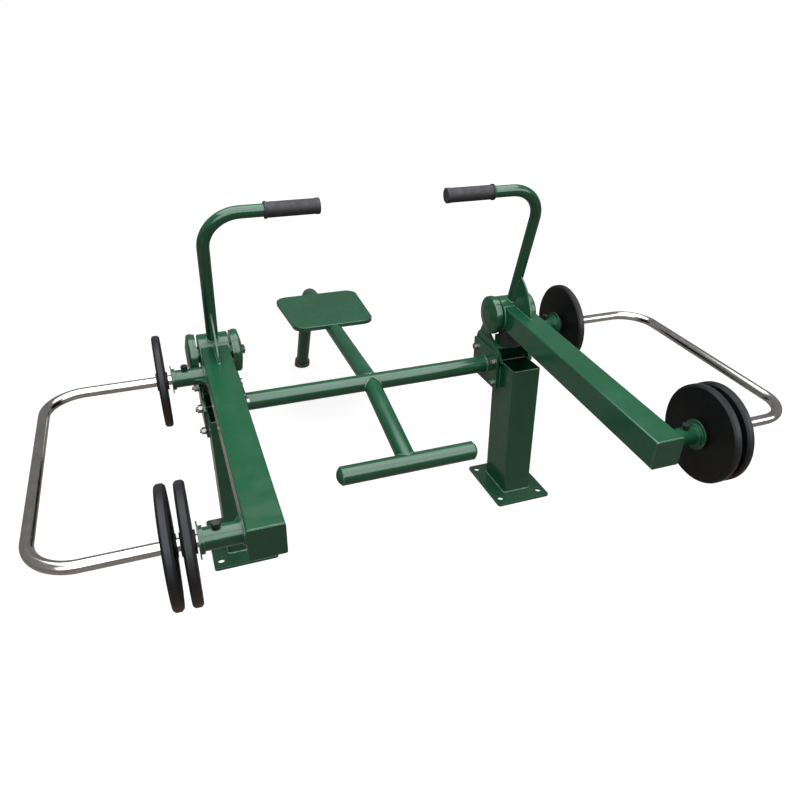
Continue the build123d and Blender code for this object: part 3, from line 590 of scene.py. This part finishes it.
to_footrest = (footrest_centre - crossbar_centre).normalized()
to_seat = Vector((0, 895, 20)).normalized()
for centre, direction in (
    (crossbar_centre, to_footrest),
    (footrest_centre, -to_footrest),
    (crossbar_centre, to_seat),
):
    seam = saddle(centre, direction, tube_radius - 0.8 * MM, tube_radius)
    frame_welds.lay(seam, radius=3.2 * MM, closed=True)
for end in (footrest_low.x, footrest_high.x):
    seam = ring(at_x(footrest_centre, end), tube_radius - 0.9 * MM)
    frame_welds.lay(seam, radius=1.5 * MM, closed=True)
for side in (-1, 1):
    x = side * STRIP_SEAM_X
    strip_front = (x, strip_low.y + 4 * MM, strip_low.z - 0.3 * MM)
    strip_rear = (x, strip_high.y - 4 * MM, strip_low.z + 4.9 * MM)
    frame_welds.lay([strip_front, strip_rear], radius=2.4 * MM)
frame_welds.build()

# Seams of the right arm, which the left one mirrors
JOINT_STEPS = 12
FOOT_SEAM_RADIUS = 29.4 * MM
GUSSET_SEAM_START = 52 * MM
HANDLE_SEAM_START = 66 * MM
SLEEVE_GUSSET_START = 28 * MM
SLEEVE_GUSSET_END = 62 * MM


def hub_seam():
    """Round the beam at the hub, but not on its underside, where the rubber stop lies."""
    low = BEAM_UNDERSIDE + 4 * MM
    spots = []
    for edge, start, end in ((1, low, BEAM_TOP), (-1, BEAM_TOP, low)):
        for step in range(JOINT_STEPS + 1):
            above = start + (end - start) * step / JOINT_STEPS
            along = math.sqrt(hub_radius**2 - above**2)
            spots.append(on_arm(edge * BEAM_HALF, along, above))
    return spots


def foot_gap(above):
    """Half the angle left open where a sleeve's foot reaches below the beam's edge."""
    drop = above - BEAM_UNDERSIDE
    return math.acos((drop - 3 * MM) / FOOT_SEAM_RADIUS) if drop < FOOT_SEAM_RADIUS else 0.0


gusset_end = (pivot.y - gusset_low.y - BEAM_TOP * math.sin(ARM_SLOPE)) / math.cos(ARM_SLOPE)
gusset_reach = (gusset_high.z - pivot.z) / math.cos(HANDLE_LEAN)
arm_down = math.pi / 2 + ARM_SLOPE
cap_half = BEAM_HALF - 0.5 * MM

for name, side in SIDES:
    bead = Bead(f"{name}_arm_welds", f"{name}_arm")
    seam = saddle(pivot, handle_up, HANDLE_RADIUS, hub_radius)
    bead.lay(seam, radius=2.6 * MM, closed=True)
    bead.lay(hub_seam(), radius=2.8 * MM)
    cap_centre = on_arm(0, BEAM_CAP_START, BEAM_RISE)
    cap_outline = rectangle(cap_centre, across, arm_up, cap_half, cap_half, 5 * MM)
    bead.lay(cap_outline, radius=1.1 * MM, closed=True, pitch=2.4 * MM)
    for edge in (-1, 1):
        out = edge * (gusset_half + 0.4 * MM)
        on_beam = [on_arm(out, along, BEAM_TOP) for along in (GUSSET_SEAM_START, gusset_end)]
        bead.lay(on_beam, radius=1.7 * MM)
        handle_line = pivot + across * out + handle_front * (HANDLE_RADIUS - 0.4 * MM)
        heights = (HANDLE_SEAM_START, gusset_reach - 4 * MM)
        bead.lay([handle_line + handle_up * height for height in heights], radius=1.5 * MM)
    tip = gusset_end + 0.5 * MM
    bead.lay([on_arm(edge * gusset_half * 1.6, tip, BEAM_TOP) for edge in (-1, 1)], radius=3.0 * MM)
    for along, above, facing in SLEEVES:
        gap = foot_gap(above)
        foot = on_arm(BEAM_HALF + 0.4 * MM, along, above)
        seam = ring(foot, FOOT_SEAM_RADIUS, arm_down + gap, arm_down + math.tau - gap)
        bead.lay(seam, radius=2.4 * MM, closed=gap == 0)
        for lift in (-2.5 * MM, 2.5 * MM):
            on_side = [
                on_arm(BEAM_HALF + 0.3 * MM, along + facing * reach, above + lift)
                for reach in (SLEEVE_GUSSET_START, SLEEVE_GUSSET_END)
            ]
            bead.lay(on_side, radius=1.7 * MM)
    bead.build(mirrored=side < 0)


# Threads on the free ends of the flange bolts and of the axles

THREAD_SIDES = 20
BOLT_RADIUS = 6 * MM
BOLT_PITCH = 1.5 * MM
BOLT_OFFSET_Y = 70 * MM
BOLT_OFFSET_Z = 39 * MM
STUB_RADIUS = 8 * MM
STUB_LENGTH = 3 * MM
STUB_PITCH = 1.4 * MM


def thread(name, start, direction, radius, length, pitch):
    """Turned ridges over a plain shank, from start along a direction."""
    first = direction.cross(upright)
    second = direction.cross(first)
    rings = []
    for i in range(int(length / pitch)):
        for share, grow in ((0.05, -0.15), (0.5, 0.32), (0.95, -0.15)):
            rings.append(((i + share) * pitch, radius + grow * MM))
    rings.append((length, radius - 0.9 * MM))
    points = []
    for along, size in rings:
        for k in range(THREAD_SIDES):
            turn = math.tau * k / THREAD_SIDES
            spoke = (first * math.cos(turn) + second * math.sin(turn)) * size
            points.append(tuple(start + direction * along + spoke))
    last = (len(rings) - 1) * THREAD_SIDES
    faces = []
    for a in range(0, last, THREAD_SIDES):
        b = a + THREAD_SIDES
        for k in range(THREAD_SIDES):
            n = (k + 1) % THREAD_SIDES
            faces.append((a + k, a + n, b + n, b + k))
    faces.append(tuple(reversed(range(THREAD_SIDES))))
    faces.append(tuple(last + k for k in range(THREAD_SIDES)))
    made = add_mesh(name, points, faces, materials["zinc_steel"])
    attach(made, "frame")


for name, side in SIDES:
    for i, y in enumerate((-BOLT_OFFSET_Y, BOLT_OFFSET_Y)):
        for j, z in enumerate((-BOLT_OFFSET_Z, BOLT_OFFSET_Z)):
            start = Vector((side * nuts_end, crossbar_centre.y + y, crossbar_centre.z + z))
            length = bolts_end - nuts_end
            bolt_name = f"{name}_bolt_thread_{i}{j}"
            thread(bolt_name, start, across * side, BOLT_RADIUS, length, BOLT_PITCH)
    axle_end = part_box(f"{name}_axle")[1].x
    start = at_x(pivot, axle_end - STUB_LENGTH)
    thread(f"{name}_axle_thread", start, across, STUB_RADIUS, STUB_LENGTH, STUB_PITCH)


# Floor and world

FLOOR_HALF = 40.0
FLOOR_DEPTH = 0.2 * MM
# What the floor throws back on the object, and what it shows to the camera
FLOOR_BOUNCE = (0.24, 0.205, 0.17)
FLOOR_SHOWN = (0.50, 0.50, 0.50)


def floor_material():
    """White background that keeps the object's soft shadow; darker where it bounces light."""
    material = bpy.data.materials.new("floor")
    material.use_nodes = True
    n = Nodes(material.node_tree)
    share = n.background_share()
    diffuse = n.node("ShaderNodeBsdfDiffuse")
    n.link(n.mix(share, FLOOR_BOUNCE, FLOOR_SHOWN), diffuse.inputs["Color"])
    distance = n.node("ShaderNodeVectorMath", operation="LENGTH")
    n.link(n.coordinates("Object"), distance.inputs[0])
    far = n.ramp(distance.outputs["Value"], 1.5, 4.0, 0.70, 1.0)
    glow = n.node("ShaderNodeEmission")
    n.link(n.math("MULTIPLY", share, far), glow.inputs["Strength"])
    both = n.node("ShaderNodeAddShader")
    n.link(diffuse.outputs[0], both.inputs[0])
    n.link(glow.outputs[0], both.inputs[1])
    n.link(both.outputs[0], n.node("ShaderNodeOutputMaterial").inputs["Surface"])
    return material


def studio_world():
    """A weak fill, stronger from the front, behind a background that shows white."""
    world = bpy.data.worlds.new("studio")
    world.use_nodes = True
    n = Nodes(world.node_tree)
    fill = n.node("ShaderNodeBackground")
    fill.inputs["Color"].default_value = (0.97, 1.0, 1.0, 1)
    strength = n.ramp(n.part("Y", n.coordinates("Generated")), -1.0, 1.0, 0.30, 0.13)
    n.link(strength, fill.inputs["Strength"])
    white = n.node("ShaderNodeBackground")
    white.inputs["Color"].default_value = (1, 1, 1, 1)
    white.inputs["Strength"].default_value = 1.0
    choose = n.node("ShaderNodeMixShader")
    n.link(n.background_share(), choose.inputs[0])
    n.link(fill.outputs[0], choose.inputs[1])
    n.link(white.outputs[0], choose.inputs[2])
    n.link(choose.outputs[0], n.node("ShaderNodeOutputWorld").inputs["Surface"])
    return world


floor_corners = [
    (x * FLOOR_HALF, y * FLOOR_HALF, -FLOOR_DEPTH)
    for x, y in ((-1, -1), (1, -1), (1, 1), (-1, 1))
]
floor = add_mesh("floor", floor_corners, [(0, 1, 2, 3)], floor_material())
bpy.context.scene.world = studio_world()


# Lamps

NEAR_WHITE = (1.0, 1.0, 0.99)
COOL_WHITE = (0.90, 1.0, 0.985)


def area_light(name, place, target, size, watts, colour):
    lamp = bpy.data.lights.new(name, "AREA")
    lamp.shape = "RECTANGLE"
    lamp.size, lamp.size_y = size
    lamp.energy = watts
    lamp.color = colour
    made = add_object(name, lamp)
    made.location = place
    aim = Vector(target) - Vector(place)
    made.rotation_euler = aim.to_track_quat("-Z", "Y").to_euler()
    made.visible_camera = False
    return made


def gloss_light(name, place, target, size, watts):
    """A lamp that only reflections see, for the highlight bands."""
    made = area_light(name, place, target, size, watts, COOL_WHITE)
    made.visible_diffuse = False


area_light(
    "overhead",
    place=(0, -0.75, 3.2),
    target=(0, -0.7, 0.4),
    size=(4.0, 3.3),
    watts=112,
    colour=NEAR_WHITE,
)
gloss_light(
    "front_reflector",
    place=(1.5, -4.0, 2.89),
    target=(1.3, 0.2, 1.29),
    size=(12.0, 3.15),
    watts=513,
)
gloss_light(
    "top_reflector",
    place=(0, -0.6, 3.15),
    target=(0, -0.55, 0.4),
    size=(4.0, 3.6),
    watts=86,
)


# Camera, fitted to the photograph; it looks down and to the right

CAMERA_X = -0.6164
CAMERA_BEFORE_COLUMN = 1.9023
CAMERA_HEIGHT = 1.4968
CAMERA_DOWN = 28.1
CAMERA_RIGHT = 19.8

camera_data = bpy.data.cameras.new("camera")
camera_data.sensor_width = 36.0
camera_data.lens = 31.58
camera = add_object("camera", camera_data)
camera.location = (CAMERA_X, column_y - CAMERA_BEFORE_COLUMN, CAMERA_HEIGHT)
camera.rotation_euler = (math.radians(90 - CAMERA_DOWN), 0, math.radians(-CAMERA_RIGHT))
bpy.context.scene.camera = camera
bpy.context.scene.view_settings.view_transform = "Standard"
